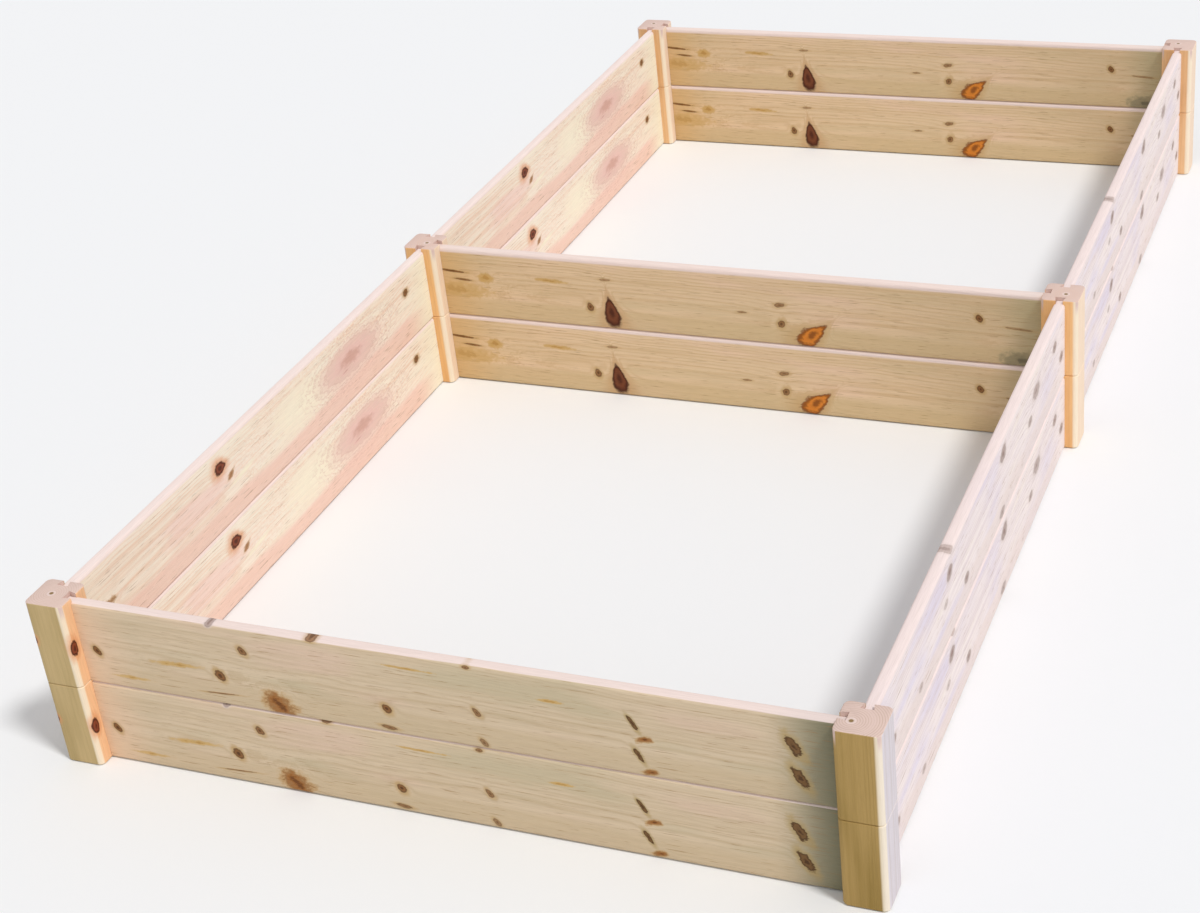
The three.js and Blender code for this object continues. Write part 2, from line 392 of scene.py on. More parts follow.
# %%
KNOTS = {
    "front": [
        (0.032, 0.57, 8, 5, -60, 0, "brown", 1.0), (0.208, 0.63, 9, 6, -52, 0, "brown", 1.0),
        (0.247, 0.27, 8, 5, -50, 0, "brown", 0.9), (0.285, 0.88, 22, 15, -30, 0, "stain", 1.0),
        (0.434, 0.70, 8, 6, -50, 0, "brown", 1.0), (0.434, 0.93, 11, 3, -5, 0, "brown", 0.8),
        (0.549, 0.03, 5, 2.5, 0, 0, "brown", 0.8), (0.554, 0.56, 7, 4, -50, 0, "brown", 0.8),
        (0.558, 0.92, 7, 4, -50, 0, "brown", 0.7), (0.650, 0.28, 14, 2, 0, 0, "ochre", 1.0),
        (0.750, 0.38, 11, 3, -60, 0, "split", 1.0), (0.763, 0.56, 9, 4, 15, 0, "stain", 1.0),
        (0.754, 0.76, 11, 3, -60, 0, "split", 1.0), (0.766, 0.94, 9, 4, 15, 0, "stain", 1.0),
        (0.940, 0.35, 16, 6.5, -58, 0, "split", 1.0), (0.945, 0.70, 16, 6.5, -58, 0, "split", 1.0),
        (0.206, 0.0, 5, 4, 0, 0, "grey", 0.9), (0.345, 0.0, 7, 3, 0, 0, "brown", 0.8),
        (0.075, 0.85, 26, 2.5, 0, 0, "ochre", 0.8), (0.150, 0.58, 34, 3, 2, 0, "ochre", 0.9),
        (0.205, 0.86, 24, 1.2, 3, 0, "brown", 0.7), (0.470, 0.16, 30, 1.6, -1, 0, "ochre", 0.9),
    ],
    "cross": [
        (0.302, 0.75, 29, 13, -82, 0.55, "bark", 1.0), (0.266, 0.70, 8, 6, -80, 0, "brown", 0.9),
        (0.296, 0.28, 10, 2.5, 0, 0, "brown", 0.5), (0.522, 0.58, 8, 2, 0, 0, "brown", 0.6),
        (0.584, 0.43, 9, 4, 10, 0, "brown", 0.7), (0.585, 0.70, 7, 6, 70, 0, "brown", 0.9),
        (0.635, 0.82, 30, 15, 40, -0.5, "rust", 1.0), (0.895, 0.38, 7, 5, -50, 0, "brown", 1.0),
        (0.025, 0.33, 26, 2, -4, 0, "brown", 0.9), (0.045, 0.45, 16, 2, -4, 0, "brown", 0.8),
        (0.030, 0.60, 60, 12, 0, 0, "ochre", 0.6), (0.085, 0.40, 12, 8, 0, 0, "ochre", 1.0),
        (0.200, 0.36, 26, 3, -2, 0, "ochre", 0.9), (0.955, 0.48, 20, 2, -4, 0, "brown", 0.5),
        # Painted shadow of the right board, low at the far end.
        (0.965, 0.92, 34, 14, 0, 0, "damp", 1.0),
    ],
    "left": [
        (0.565, 0.42, 70, 30, 0, 0, "cream", 1.0), (0.725, 0.44, 88, 28, 0, 0, "blush", 0.9),
        (0.350, 0.25, 14, 10, -6, -0.2, "dark", 1.0), (0.372, 0.44, 9, 4, 25, 0, "stain", 0.8),
        (0.055, 0.55, 20, 6, 5, 0, "stain", 0.9), (0.705, 0.56, 22, 3, 4, 0, "blush", 1.0),
        (0.400, 0.55, 30, 4, 6, 0, "cream", 0.9), (0.915, 0.31, 8, 6, 0, 0, "brown", 1.0),
    ],
    "right": [
        (0.06, 0.72, 15, 9, 12, -0.3, "grey", 1.0), (0.32, 0.22, 13, 10, 0, 0, "grey", 1.0),
        (0.33, 0.00, 9, 4, 0, 0, "grey", 0.6), (0.30, 0.50, 10, 6, 0, 0, "grey", 0.5),
        (0.40, 0.72, 11, 7, 0, 0, "grey", 0.9), (0.60, 0.20, 16, 11, 4, 0.2, "grey", 1.0),
        (0.59, 0.90, 14, 7, 0, 0, "grey", 0.8), (0.76, 0.55, 12, 7, 0, 0, "grey", 0.8),
        (0.80, 0.32, 21, 11, -3, 0, "grey", 0.8), (0.92, 0.28, 12, 8, 0, 0, "grey", 0.9),
        (0.965, 0.60, 12, 8, 0, 0, "grey", 0.9), (0.18, 0.80, 9, 5, 0, 0, "grey", 0.6),
    ],
}
print("knots:", {kind: len(knots) for kind, knots in KNOTS.items()})

# %% [markdown]
# ## A wooden surface
# Every wooden material starts by reading the grain, which the shaped pieces store point by
# point. Object coordinates would do for an upright post, but a board that lies across the bed
# and one that lies along it need different axes. Only the dowels, which keep the frame's own
# mesh, read Object coordinates.
#
# Planed softwood is dull, with a faint sheen, and the late wood stands a little proud. That
# relief is far finer than a mesh should carry, so it is left to a Bump node.

# %%
RELIEF_STRENGTH = 0.55
RELIEF_HEIGHT = 0.0006
WOOD_SHEEN = 0.22


def new_material(name, stored_grain=True):
    """Without a stored grain, the grain runs upright through the object's own coordinates."""
    material = bpy.data.materials.new(name)
    material.use_nodes = True
    g = Graph(material.node_tree)
    if stored_grain:
        grain = g.tree.nodes.new("ShaderNodeAttribute")
        grain.attribute_name = "grain"
        return material, g, grain.outputs["Vector"]
    x, y, z = g.split(g.node("ShaderNodeTexCoord").outputs["Object"])
    return material, g, g.combine(z, x, y)


def finish_wood(material, g, colour, rings, dents, dull):
    """Adds the pores to colour, roughness and relief, and joins them to the surface."""
    fine = g.step(rings["Pores"], 0.35, 0.65, 0.94, 1.03)
    colour = g.mix(1.0, colour, g.combine(fine, fine, fine), "MULTIPLY")
    relief = g.math("MULTIPLY_ADD", rings["Pores"], 0.5, g.math("MULTIPLY", rings["Ring"], 0.5))
    relief = g.math("SUBTRACT", relief, g.math("MULTIPLY", dents, 0.8))
    bump = g.tree.nodes.new("ShaderNodeBump")
    bump.inputs["Strength"].default_value = RELIEF_STRENGTH
    bump.inputs["Distance"].default_value = RELIEF_HEIGHT
    g.join(relief, bump.inputs["Height"])

    surface = material.node_tree.nodes["Principled BSDF"].inputs
    g.join(colour, surface["Base Color"])
    g.join(g.step(rings["Pores"], 0.3, 0.7, dull, 0.6), surface["Roughness"])
    g.join(bump.outputs[0], surface["Normal"])
    surface["Specular IOR Level"].default_value = WOOD_SHEEN


print("relief of the late wood, in millimetres:", RELIEF_HEIGHT * 1000)

# %% [markdown]
# ## Putting knots into a material
# The rings have to know every knot's push before they are drawn, and the knots' colours lie on
# top of the finished wood. So it takes two steps: `knot_shapes` measures all the knots first,
# and `paint_knots` lays their colours on at the end. The rims sink a little into the relief.

# %%
RAGGED = (90.0, 130.0, 130.0)  # how often a knot's outline wavers, per metre


def knot_shapes(g, grain, knots, seed):
    """One shape group for each knot, with the bend and dents of all of them together."""
    shapes, bend, dents = [], 0.0, 0.0
    if not knots:
        return shapes, bend, dents
    place = g.vector("MULTIPLY_ADD", grain, RAGGED, (seed, seed, seed))
    ragged = g.math("SUBTRACT", g.noise(place, 3.0, 0.6), 0.5)
    for centre, size, tilt, taper, kind, strength in knots:
        core, rim, halo, soft, rough, ripple = KNOT_KINDS[kind]
        shape = group_node(
            g, KNOT_SHAPE, Grain=grain, Centre=centre, Size=size, Tilt=math.radians(tilt),
            Taper=taper, Soft=soft, Ragged=g.math("MULTIPLY", ragged, rough), Ripple=ripple,
        )
        bend = g.math("ADD", bend, shape["Bend"])
        dents = g.math("MAXIMUM", dents, g.math("MULTIPLY", shape["Rim"], strength))
        shapes.append((shape, strength, srgb(*core), srgb(*rim), srgb(*halo)))
    return shapes, bend, dents


def paint_knots(g, colour, shapes):
    for shape, strength, core, rim, halo in shapes:
        colour = group_node(
            g, KNOT_COLOUR, Wood=colour, Core=shape["Core"], Rim=shape["Rim"],
            Halo=shape["Halo"], Heart=shape["Heart"], Strength=strength,
            Core_Color=core, Rim_Color=rim, Halo_Color=halo,
        )["Color"]
    return colour


print("knots in the four lists:", sum(len(knots) for knots in KNOTS.values()))

# %% [markdown]
# ## Board material
# The layers go on in the order in which the wood got them. First the growth: pale early wood,
# darker late wood, drifting cool and warm tints, and streaks. Then a darker band along the foot
# and a tint at each end, from weather and handling; on the front and cross boards the far end's
# tint is painted shade instead, where the right posts shade them. Then the planing: dark flecks.
# A pale band along the top is a painted highlight, where the eased edge catches the light from
# above. The knots come last, because they reach right through.

# %%
# Painted highlight for the boards' eased top edges, as if lit from above. The posts use the same
# colour for the pale ring round the pith on their end faces.
TOP_HIGHLIGHT_AND_PALE_RING = srgb(244, 226, 222)
FLECK = srgb(158, 118, 70)
BOARD_PITH = (0.0, 0.045, -0.05)  # it lies behind the board, at a third of its height
BOARD_RING = 0.0052
FOOT_BAND = (0.044, 0.030)  # the heights at which the foot's tint starts and is full
END_START = 0.80  # the ends' tints start at this share of the half length
NEAR_FULL, FAR_FULL = 0.97, 0.98


def place_knots(knots):
    """Turns shares and millimetres into places and sizes in the board's grain."""
    return [
        (((along - 0.5) * BOARD_LENGTH, (1 - down) * BOARD_HEIGHT, 0.0),
         (length / 1000, height / 1000, 1.0), tilt, taper, kind, strength)
        for along, down, length, height, tilt, taper, kind, strength in knots
    ]


def board_material(name, knots, tones, highlight_depth, seed):
    """The edge depth is how far down from the top the painted highlight on the eased edge reaches.
    """
    early, late, cool, warm, foot, near, far = (srgb(*tone) for tone in tones)
    material, g, grain = new_material(name)
    shapes, bend, dents = knot_shapes(g, grain, place_knots(knots), seed)
    rings = group_node(
        g, RINGS, Grain=grain, Pith=BOARD_PITH, Lean=0.025, Width=BOARD_RING, Sway=0.045,
        Bend=bend, Seed=seed,
    )
    u, v, _ = g.split(grain)

    colour = g.mix(g.math("MULTIPLY", rings["Ring"], 0.6), early, late)
    colour = g.mix(g.step(rings["Blotch"], 0.48, 0.68, 0.0, 0.7), colour, cool)
    colour = g.mix(g.step(rings["Blotch"], 0.46, 0.30, 0.0, 0.6), colour, warm)
    colour = g.mix(g.step(rings["Streak"], 0.42, 0.72, 0.0, 0.45), colour, late)

    drift = g.math("MULTIPLY", g.math("SUBTRACT", rings["Blotch"], 0.5), 0.03)
    colour = g.mix(g.step(g.math("ADD", v, drift), *FOOT_BAND, 0.0, 0.8), colour, foot)
    # Tints at both ends. On the front and cross boards the far end's tint is painted shade, dark
    # olive where the right post shades the board.
    half = BOARD_LENGTH / 2
    near_end = g.step(u, -half * END_START, -half * NEAR_FULL, 0.0, 0.75)
    far_end_tint_and_shade = g.step(u, half * END_START, half * FAR_FULL, 0.0, 1.0)
    colour = g.mix(near_end, colour, near)
    colour = g.mix(far_end_tint_and_shade, colour, far)

    colour = g.mix(g.math("MULTIPLY", rings["Fleck"], 0.55), colour, FLECK)
    # Painted highlight: the eased top edge is painted pale, as if it caught the light from above.
    height = g.math("MULTIPLY_ADD", g.math("SUBTRACT", rings["Streak"], 0.5), 0.004, v)
    start, full = BOARD_HEIGHT - highlight_depth, BOARD_HEIGHT - 0.6 * highlight_depth
    colour = g.mix(g.step(height, start, full, 0.0, 0.85), colour, TOP_HIGHLIGHT_AND_PALE_RING)
    colour = paint_knots(g, colour, shapes)
    finish_wood(material, g, colour, rings, dents, 0.72)
    return material


print("ring width in boards, in millimetres:", BOARD_RING * 1000)

# %% [markdown]
# ## The four looks of the boards
# One look for all boards would be less work, but each side of the bed was cut from another
# plank and catches another light: the front is straw coloured, the cross boards are yellower,
# the left side is nearly white with pink, and the right side leans to lilac. That paleness is
# partly painted light: the left and right faces, turned to the sun, are painted paler, and the
# right side's lilac is painted skylight. The seven tones are early wood, late wood, the cool and
# the warm tint, the foot, and the two ends. The far end's tone of the front and cross boards is
# painted shade.

# %%
# Painted light: the left and right tones are painted pale for their sunlit faces. Painted shade:
# the last tone of the front and cross, at the far end.
BOARD_TONES = {
    "front": ((223, 202, 172), (200, 176, 140), (203, 189, 156), (230, 200, 178),
              (212, 190, 156), (240, 206, 174), (130, 127, 102)),
    "cross": ((234, 206, 168), (210, 176, 130), (218, 194, 152), (244, 210, 184),
              (216, 190, 146), (222, 184, 128), (190, 178, 140)),
    "left": ((255, 241, 224), (238, 194, 160), (255, 247, 228), (251, 214, 205),
             (248, 209, 192), (255, 240, 220), (255, 249, 226)),
    "right": ((248, 236, 233), (222, 204, 205), (224, 215, 235), (255, 243, 224),
              (238, 222, 216), (236, 225, 233), (247, 235, 233)),
}
# How far down each look's painted highlight along the top edge reaches.
TOP_HIGHLIGHT_DEPTHS = {"front": 0.0022, "cross": 0.0095, "left": 0.0055, "right": 0.0050}
BOARD_LOOKS = {}
for number, (kind, tones) in enumerate(BOARD_TONES.items()):
    BOARD_LOOKS[kind] = board_material(
        "board_" + kind, KNOTS[kind], tones, TOP_HIGHLIGHT_DEPTHS[kind], seed=1.7 + 5.3 * number
    )
print("board materials:", [look.name for look in BOARD_LOOKS.values()])

# %% [markdown]
# ## Post material
# A post holds the pith, so its end shows rings round a small dark spot. The heartwood shows
# golden on the front. The side turned to the bed's right, where the sun falls, is painted paler:
# that is painted light, and a cream band on the corner between them is a painted highlight.
# These are bands across the post's X, so they need no second material on the mesh.
#
# The end grain covers the top face, and the groove walls just below it, because a saw leaves
# both of them pale. It goes on after the sides and before the knots.

# %%
END_GRAIN = srgb(226, 200, 190)
PITH = srgb(140, 112, 64)
CORNER_HIGHLIGHT = srgb(252, 238, 212)
POST_RING = 0.0034
# Painted light on the right face and a painted highlight on its corner: where each starts and is
# full, measured in from the right face.
SUNLIT_FACE = (0.0085, 0.0035)  # from the right face: where it starts and where it is full
HIGHLIGHT_INSIDE = (0.0105, 0.0070)
HIGHLIGHT_OUTSIDE = (0.0012, 0.0003)
TOP_FACE = (0.0014, 0.0004)  # below the top: where the end face starts and where it is full
PALE_HEART = (0.0080, 0.0050)  # from the pith: where the pale ring ends, and where it is full
DARK_PITH = (0.0042, 0.0022)
GROOVE_DEPTH = (0.0006, 0.0012)  # how far inside the side faces its walls start
GROOVE_REACH = (0.030, 0.004)  # below the top


def post_material(name, pith, heart, ring, sunlit_tone, seed, knots=(), stored_grain=True):
    """pith is where the tree's middle line runs, from the post's own middle."""
    heart, ring, sunlit_tone = srgb(*heart), srgb(*ring), srgb(*sunlit_tone)
    material, g, grain = new_material(name, stored_grain)
    shapes, bend, dents = knot_shapes(g, grain, knots, seed)
    rings = group_node(
        g, RINGS, Grain=grain, Pith=(0.0, *pith), Lean=0.0, Width=POST_RING, Sway=0.006,
        Bend=bend, Seed=seed,
    )
    u, x, y = g.split(grain)
    half = POST_WIDTH / 2

    def inside(value, face, depths, low=0.0, high=1.0):
        return g.step(value, face - depths[0], face - depths[1], low, high)

    def ring_share(share):
        return g.math("MULTIPLY", rings["Ring"], share)

    colour = g.mix(g.step(rings["Blotch"], 0.35, 0.70), heart, ring)
    colour = g.mix(ring_share(0.35), colour, ring)
    colour = g.mix(g.step(rings["Streak"], 0.40, 0.75, 0.0, 0.4), colour, heart)
    # Painted light: the right face, turned to the sun, is painted paler.
    colour = g.mix(inside(x, half, SUNLIT_FACE), colour, g.mix(ring_share(0.16), sunlit_tone, ring))
    # Painted highlight: a cream band along the rounded corner between the front and right faces.
    band = g.math("MULTIPLY", inside(x, half, HIGHLIGHT_INSIDE),
                  inside(x, half, HIGHLIGHT_OUTSIDE, 1.0, 0.0))
    colour = g.mix(g.math("MULTIPLY", band, 0.8), colour, CORNER_HIGHLIGHT)

    face = g.mix(ring_share(0.30), END_GRAIN, ring)
    face = g.mix(g.step(rings["Distance"], *PALE_HEART, 0.0, 0.45), face, TOP_HIGHLIGHT_AND_PALE_RING)
    face = g.mix(g.step(rings["Distance"], *DARK_PITH, 0.0, 0.95), face, PITH)
    outwards = g.math("MAXIMUM", g.math("ABSOLUTE", x), g.math("ABSOLUTE", y))
    walls = g.math("MULTIPLY", inside(outwards, half, GROOVE_DEPTH),
                   inside(u, POST_TOP, GROOVE_REACH))
    colour = g.mix(walls, colour, END_GRAIN)
    colour = g.mix(inside(u, POST_TOP, TOP_FACE), colour, face)
    colour = paint_knots(g, colour, shapes)
    finish_wood(material, g, colour, rings, dents, 0.74)
    return material


print("ring width in posts, in millimetres:", POST_RING * 1000)

# %% [markdown]
# ## The looks of the posts
# Both sections of a post are cut from one length, so they share a material, and the rings and
# stains run on from one to the other. The near left post is straw coloured with dark knots, the
# near right one is golden brown, and the ones behind are a warmer yellow. A knot's place is
# written in the post's own grain: metres up, to the right and to the back.

# %%
LEFT_POST_KNOTS = [
    ((0.205, 0.031, -0.024), (0.013, 0.006, 0.006), 10, 0.3, "dark", 1.0),
    ((0.068, 0.031, -0.024), (0.013, 0.006, 0.006), 10, 0.3, "dark", 1.0),
    ((0.215, -0.030, -0.031), (0.006, 0.005, 0.007), 0, 0, "dark", 0.9),
    ((0.076, -0.030, -0.031), (0.006, 0.005, 0.007), 0, 0, "dark", 0.9),
]
# Each post's third colour is the painted light on its right face.
POST_LOOKS = {
    "front_left": post_material("post_a", (-0.004, -0.002), (206, 180, 130), (180, 156, 104),
                                (250, 200, 154), 3.1, LEFT_POST_KNOTS),
    "front_right": post_material("post_b", (-0.012, -0.008), (184, 152, 92), (152, 124, 62),
                                 (222, 214, 219), 8.2),
    "mid": post_material("post_c", (0.006, -0.006), (250, 200, 140), (226, 164, 98),
                         (250, 226, 200), 12.6),
    "rear": post_material("post_d", (-0.003, 0.006), (246, 200, 150), (216, 160, 104),
                          (248, 224, 200), 21.5),
}
DOWEL_LOOK = post_material("dowel", (0.03, 0.01), (214, 170, 116), (190, 140, 90),
                           (236, 208, 170), 5.5, stored_grain=False)
print("post materials:", [look.name for look in POST_LOOKS.values()], "and", DOWEL_LOOK.name)

# %% [markdown]
# ## Drawing a piece out
# A board and a post are both drawn out of one outline, as a planing machine does it. The
# outline is drawn once as a closed ring of edges, and each step along the piece extrudes the
# last ring and moves the new points to where the next ring lies. A box with cuts could give the
# same dovetails, but cuts leave long thin faces that shade badly. With rings, the dovetail is
# just another step.

# %%


def ring_edges(bm, ring):
    """The edges of a closed ring of vertices, made where they are missing."""
    pairs = zip(ring, ring[1:] + ring[:1])
    return [bm.edges.get(pair) or bm.edges.new(pair) for pair in pairs]


def next_ring(bm, ring, points):
    """Extrudes a closed ring of vertices and moves the new ones to the given points."""
    made = bmesh.ops.extrude_edge_only(bm, edges=ring_edges(bm, ring))["geom"]
    fresh = {item for item in made if isinstance(item, bmesh.types.BMVert)}
    moved = []
    for vertex, point in zip(ring, points):
        ends = (edge.other_vert(vertex) for edge in vertex.link_edges)
        moved.append(next(end for end in ends if end in fresh))
        moved[-1].co = point
    return moved


def draw_out(bm, rings):
    """Draws the first ring, extrudes it through the others, and gives back both ends."""
    first = [bm.verts.new(point) for point in rings[0]]
    last = first
    for points in rings[1:]:
        last = next_ring(bm, last, points)
    return first, last


def fill(bm, ring):
    """One flat face over a closed ring."""
    bmesh.ops.contextual_create(bm, geom=ring_edges(bm, ring))


trial = bmesh.new()
for end in draw_out(trial, [[(0, 0, z), (1, 0, z), (0, 1, z)] for z in (0, 1)]):
    fill(trial, end)
print("a triangle drawn out to a wedge has", len(trial.faces), "faces")
trial.free()

# %% [markdown]
# ## From a mesh to a piece of the bed
# A piece is shaped about its own axes, where its grain is easy to tell, and only then moved to
# its place in the bed. The move goes into the mesh, so the object itself stays at the origin.
# Flat faces and round edges are told apart by the angle between faces.
#
# Two calls tie the piece to the frame: it rides on a body, and it takes the place of the frame's
# own node.

# %%
SHARP_ANGLE = math.radians(32)


def finish_piece(bm, name, body, material, grain_of, place):
    bmesh.ops.recalc_face_normals(bm, faces=bm.faces)
    grain = bm.verts.layers.float_vector.new("grain")
    for vertex in bm.verts:
        vertex[grain] = grain_of(vertex.co)
    bm.transform(place)
    mesh = bpy.data.meshes.new(name + "_wood")
    bm.to_mesh(mesh)
    bm.free()
    mesh.materials.append(material)
    mesh.shade_smooth()
    mesh.set_sharp_from_angle(angle=SHARP_ANGLE)
    piece = bpy.data.objects.new(name + "_wood", mesh)
    bpy.context.scene.collection.objects.link(piece)
    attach(piece, body)
    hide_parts(name)


print("edges sharper than", round(math.degrees(SHARP_ANGLE)), "degrees stay hard")

# %% [markdown]
# ## The outline of a post
# Seen from above, a post is a square with round corners and a dovetail groove for each board
# that it carries. The outline is made side by side: one side is written down, and a quarter
# turn brings it to the next place. Each point has a partner, where the end face is eased, so
# that the groove runs through the eased edge and keeps its slope.

# %%
CORNER_STEPS = 8


def post_outline(grooves):
    """Pairs of points: on the full outline, and where the end face is eased."""
    half = POST_WIDTH / 2
    inner = half + SHOULDER_GAP - TONGUE_LENGTH - TIP_GAP
    flare = (TONGUE_TIP - TONGUE_NECK) / 2 / TONGUE_LENGTH
    mouth = TONGUE_NECK / 2 + SHOULDER_GAP * flare + SLIDE_GAP
    back = mouth + (half - inner) * flare
    eased = mouth + POST_CHAMFER * flare
    middle = half - POST_ROUND
    small = POST_ROUND - POST_CHAMFER
    outline = []
    for turn in range(4):
        side = []
        if turn in grooves:
            side += [
                ((half, -mouth), (half - POST_CHAMFER, -eased)),
                ((inner, -back), (inner, -back)),
                ((inner, back), (inner, back)),
                ((half, mouth), (half - POST_CHAMFER, eased)),
            ]
        for step in range(CORNER_STEPS + 1):
            angle = math.radians(90 * step / CORNER_STEPS)
            x, y = math.cos(angle), math.sin(angle)
            side.append(((middle + POST_ROUND * x, middle + POST_ROUND * y),
                         (middle + small * x, middle + small * y)))
        spin = Matrix.Rotation(math.pi / 2 * turn, 2)
        outline += [tuple(tuple(spin @ Vector(p)) for p in pair) for pair in side]
    return outline


print("points round a corner post:", len(post_outline((0, 1))))

# %% [markdown]
# ## A post section
# The outline is drawn straight up, with three rings at each end for the eased edge. The end
# that meets the other section has a bore for the dowel: a circle, drawn out to its depth. The
# flat ring between circle and outline is filled with triangles, because one face cannot have a
# hole. The grain runs up through both sections, so it is counted from the ground.

# %%
EASED_END = ((0.0, 1.0), (0.0005, 0.45), (POST_CHAMFER, 0.0))  # height, share of the easing
BORE_SIDES = 24


def build_post(name, look, grooves, bore_on_top):
    centre = foot_of(name)
    outline = post_outline(grooves)
    levels = [*EASED_END, *((POST_HEIGHT - height, ease) for height, ease in EASED_END[::-1])]
    rings = []
    for height, ease in levels:
        rings.append([(a[0] + (b[0] - a[0]) * ease, a[1] + (b[1] - a[1]) * ease, height)
                      for a, b in outline])
    bm = bmesh.new()
    bottom, top = draw_out(bm, rings)
    bored, plain = (top, bottom) if bore_on_top else (bottom, top)
    fill(bm, plain)
    mouth, floor = 0.0, BORE_DEPTH
    if bore_on_top:
        mouth, floor = POST_HEIGHT, POST_HEIGHT - BORE_DEPTH
    rim = bmesh.ops.create_circle(
        bm, segments=BORE_SIDES, radius=BORE_RADIUS, matrix=Matrix.Translation((0, 0, mouth))
    )["verts"]
    fill(bm, next_ring(bm, rim, [(vertex.co.x, vertex.co.y, floor) for vertex in rim]))
    open_end = ring_edges(bm, bored) + ring_edges(bm, rim)
    bmesh.ops.triangle_fill(bm, use_beauty=True, edges=open_end)
    finish_piece(bm, name, "posts", look, lambda p: (p.z + centre.z, p.x, p.y),
                 Matrix.Translation(centre))


# Grooves are counted in quarter turns from +X, one for each board that meets the post.
GROOVES = {
    "front_left": (0, 1), "front_right": (1, 2), "mid_left": (0, 1, 3),
    "mid_right": (1, 2, 3), "rear_left": (0, 3), "rear_right": (2, 3),
}
for spot in POSTS:
    look = POST_LOOKS.get(spot) or POST_LOOKS[spot.split("_")[0]]
    for tier in TIERS:
        build_post(f"{spot}_post_{tier}", look, GROOVES[spot], tier == "lower")
print("post sections:", len(POSTS) * len(TIERS))

# %% [markdown]
# ## The section of a board
# Cut across, a board is a tall rectangle with eased edges. Its two faces are planed, not
# perfect, so their points can dip by a few tenths of a millimetre. A real tongue is a thinner
# part of the same board, so the section can also be cut off at both sides.

# %%
ROUND_STEPS = 5
FACE_STEPS = 8


def board_section(half_thick, dips):
    """The section's points in (W, V). Where the tongue is thinner, W is cut off."""
    radius = BOARD_ROUND
    side = BOARD_THICK / 2
    low, high = radius, BOARD_HEIGHT - radius
    corners = (
        (side - radius, low, -90), (side - radius, high, 0),
        (radius - side, high, 90), (radius - side, low, 180),
    )
    faces = {0: (1, low, high, dips[0]), 2: (-1, high, low, dips[1])}
    points = []
    for number, (w, v, start) in enumerate(corners):
        for step in range(ROUND_STEPS + 1):
            angle = math.radians(start + 90 * step / ROUND_STEPS)
            points.append((w + radius * math.cos(angle), v + radius * math.sin(angle)))
        if number in faces:
            sign, first, last, dip = faces[number]
            for step in range(1, FACE_STEPS):
                share = step / FACE_STEPS
                hollow = dip * math.sin(math.pi * share)
                points.append((sign * (side - hollow), first + (last - first) * share))
    return [(max(-half_thick, min(half_thick, w)), v) for w, v in points]


print("points round a board:", len(board_section(BOARD_THICK / 2, (0.0, 0.0))))

# %% [markdown]
# ## A board
# Along the board the section stays the same up to the shoulders. There it steps in to the neck
# of the tongue and widens again to its tip: that is the dovetail. The dips are two slow waves
# with a random start for each board. They fade out before the shoulders, so that the joint
# still fits.

# %%
BOARD_STEPS = 40
DIP = 0.0003
DIP_WAVES = (7, 23)  # radians per metre along the board


def build_board(name, look, along_y, seed):
    chance = random.Random(seed)
    end = BOARD_LENGTH / 2
    shoulder = end - TONGUE_LENGTH
    stations = [(-end, TONGUE_TIP / 2), (-shoulder, TONGUE_NECK / 2)]
    for i in range(BOARD_STEPS + 1):
        stations.append((-shoulder + 2 * shoulder * i / BOARD_STEPS, BOARD_THICK / 2))
    stations += [(shoulder, TONGUE_NECK / 2), (end, TONGUE_TIP / 2)]
    phase = [chance.uniform(0, math.tau) for _ in range(4)]

    rings = []
    for u, half_thick in stations:
        calm = max(0.0, 1 - (u / shoulder) ** 8)
        dips = []
        for side in (0, 1):
            slow = math.sin(u * DIP_WAVES[0] + phase[side])
            quick = math.cos(u * DIP_WAVES[1] + phase[side + 2])
            dips.append(calm * DIP * (1 + slow * quick))
        rings.append([(u, w, v) for w, v in board_section(half_thick, dips)])
    bm = bmesh.new()
    for ring in draw_out(bm, rings):
        fill(bm, ring)
    turn = Matrix.Rotation(math.pi / 2 if along_y else 0.0, 4, "Z")
    finish_piece(bm, name, name, look, lambda p: (p.x, p.z, p.y),
                 Matrix.Translation(foot_of(name)) @ turn)


# Each board rides on the body of its own name, because it lifts out by itself.
for number, spot in enumerate(CROSS_BOARDS + SIDE_BOARDS):
    family = {"front": "front", "divider": "cross", "rear": "cross"}.get(spot)
    look = BOARD_LOOKS[family or spot.split("_")[0]]
    for tier in TIERS:
        build_board(f"{spot}_board_{tier}", look, spot in SIDE_BOARDS, number * 2 + len(tier))
print("boards:", len(CROSS_BOARDS + SIDE_BOARDS) * len(TIERS))

# %% [markdown]
# ## The dowels
# A fluted dowel pins each upper post section on the lower one. It is hidden inside the posts,
# so the frame's own mesh is fine enough and only gets its wood.

# %%
for spot in POSTS:
    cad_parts[spot + "_dowel"].material_slots[0].material = DOWEL_LOOK

# %% [markdown]
# ## Floor
# A pale sheet under the bed stands for the studio's floor. It is one big face, just below the
# bed's feet. It is nearly neutral and a little blue, because the warm key light would else turn
# it cream.

# %%
FLOOR_HALF = 30.0
FLOOR_DROP = 0.001
FLOOR_COLOUR = (0.872, 0.888, 0.903, 1)

floor_mesh = bpy.data.meshes.new("floor")
bm = bmesh.new()
bmesh.ops.create_grid(bm, x_segments=1, y_segments=1, size=FLOOR_HALF)
bm.transform(Matrix.Translation((0.0, 0.0, -FLOOR_DROP)))
bm.to_mesh(floor_mesh)
bm.free()
floor = bpy.data.objects.new("floor", floor_mesh)
bpy.context.scene.collection.objects.link(floor)
floor_look = bpy.data.materials.new("floor")
floor_look.use_nodes = True
floor_surface = floor_look.node_tree.nodes["Principled BSDF"].inputs
floor_surface["Base Color"].default_value = FLOOR_COLOUR
floor_surface["Roughness"].default_value = 0.9
floor_surface["Specular IOR Level"].default_value = 0.1
floor_mesh.materials.append(floor_look)
print("floor:", [round(side, 1) for side in floor.dimensions])

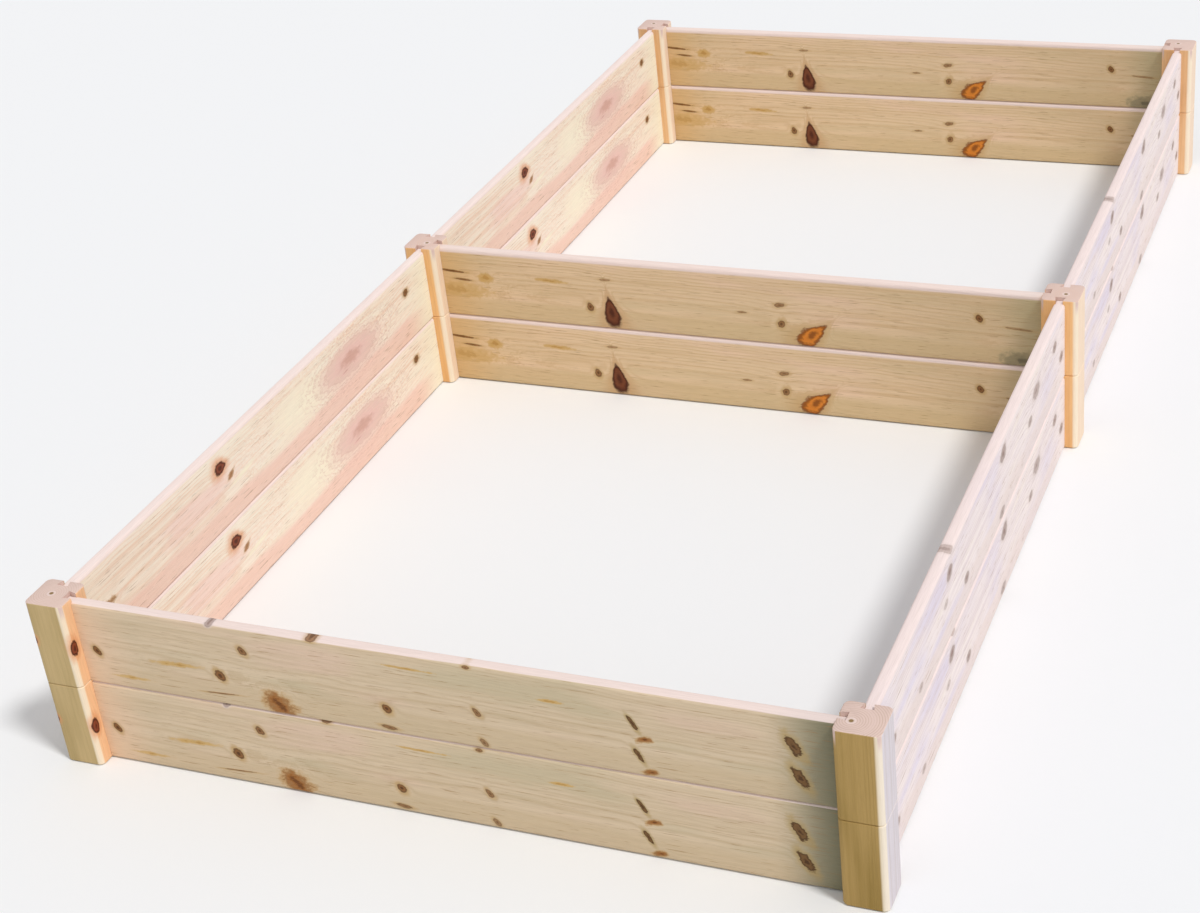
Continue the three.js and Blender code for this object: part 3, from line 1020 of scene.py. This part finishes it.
# %% [markdown]
# ## Light
# The faces turned to the right are bright and the front faces lie in soft shade. One lamp near
# the bed would light one end more than the other, so a sun does it, from the right and above,
# with a wide disc for soft edges. The sky fills the shade, and a weak second sun from the left
# lifts the front a little.

# %%
SKY_COLOUR = (0.985, 0.98, 1.0, 1)
SKY_STRENGTH = 0.56

world = bpy.data.worlds.new("studio")
bpy.context.scene.world = world
world.use_nodes = True
sky = world.node_tree.nodes["Background"].inputs
sky["Color"].default_value = SKY_COLOUR
sky["Strength"].default_value = SKY_STRENGTH


def sun(name, towards_light, strength, softness, colour):
    """softness is how wide the sun's disc looks, in degrees."""
    data = bpy.data.lights.new(name, "SUN")
    data.energy = strength
    data.angle = math.radians(softness)
    data.color = colour
    lamp = bpy.data.objects.new(name, data)
    lamp.rotation_euler = Vector(towards_light).to_track_quat("Z", "Y").to_euler()
    bpy.context.scene.collection.objects.link(lamp)
    print(name, "light, strength", strength)


sun("key", (1.0, -0.38, 1.75), strength=1.67, softness=10, colour=(1.0, 0.985, 0.965))
sun("fill", (-0.4, -1.0, 1.0), strength=0.12, softness=60, colour=(1.0, 0.98, 0.95))

# %% [markdown]
# ## Camera
# The camera stands in front and to the right, and looks down on the bed. Its place and lens
# were found by fitting the bed's corners to where they should lie in the picture. It is slightly
# rolled, so its axes are built by hand: back from the bed, level across, and up.

# %%
PICTURE_WIDTH = 1200
FOCAL_PIXELS = 2147.1
SENSOR_WIDTH = 36.0
AZIMUTH, ELEVATION, ROLL = 0.4163, 0.5143, -0.1044
CAMERA_PLACE = (1.2501, -3.1907, 1.8947)
SHIFT_X, SHIFT_Y = -0.05, -0.021

back = Vector((math.sin(AZIMUTH) * math.cos(ELEVATION),
               -math.cos(AZIMUTH) * math.cos(ELEVATION), math.sin(ELEVATION)))
level = Vector((0.0, 0.0, 1.0)).cross(back).normalized()
upright = back.cross(level)
right = level * math.cos(ROLL) + upright * math.sin(ROLL)
up = upright * math.cos(ROLL) - level * math.sin(ROLL)
turned = Matrix((right, up, back)).transposed().to_4x4()
camera_data = bpy.data.cameras.new("camera")
camera_data.sensor_fit = "HORIZONTAL"
camera_data.sensor_width = SENSOR_WIDTH
camera_data.lens = SENSOR_WIDTH * FOCAL_PIXELS / PICTURE_WIDTH
camera_data.shift_x = SHIFT_X
camera_data.shift_y = SHIFT_Y
camera = bpy.data.objects.new("camera", camera_data)
camera.matrix_world = Matrix.Translation(CAMERA_PLACE) @ turned
bpy.context.scene.collection.objects.link(camera)
bpy.context.scene.camera = camera
bpy.context.scene.view_settings.view_transform = "Standard"
print("camera at", [round(c, 3) for c in CAMERA_PLACE], "lens", round(camera_data.lens, 1))

# %% [markdown]
# ## Last measures
# The dressed bed has to stay inside the frame's box.
